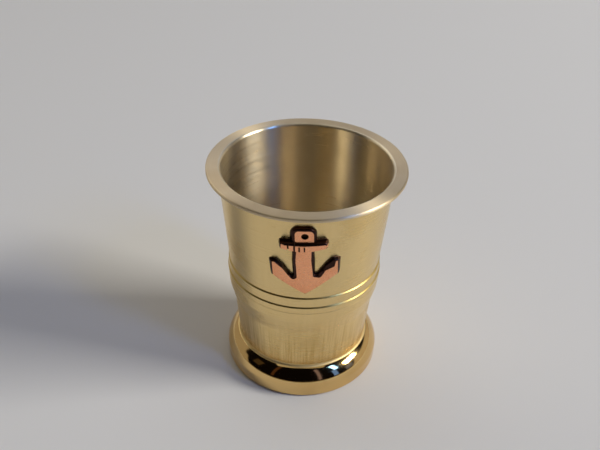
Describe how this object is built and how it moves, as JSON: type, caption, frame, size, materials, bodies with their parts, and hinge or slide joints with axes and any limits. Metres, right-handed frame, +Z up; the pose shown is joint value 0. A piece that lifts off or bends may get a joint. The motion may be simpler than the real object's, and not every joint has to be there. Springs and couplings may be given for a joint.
{
  "type": "shot glass",
  "caption": "Small tapered metal drinking cup with a flanged lip, a ringed band, a stepped foot and a raised anchor badge on its front.",
  "frame": {"origin": "centre of the foot's underside, on the surface the cup stands on", "axes": "+Z up along the cup's axis, towards the lip; the badge faces -Y; +X is to the right when the badge is looked at"},
  "size_m": [0.05, 0.05, 0.0604],
  "materials": {
    "turned_brass": "satin, turned on a lathe, with fine circular tool marks",
    "polished_brass": "mirror polished",
    "braze": "smooth, slightly duller than the foot",
    "copper": "copper with a fine satin face and polished bevels",
    "solder": "dull grey tin solder"
  },
  "bodies": {
    "root": {"cup_body": "turned_brass", "foot_ring": "polished_brass", "foot_braze": "braze", "anchor_badge": "copper", "badge_solder": "solder"}
  },
  "joints": []
}
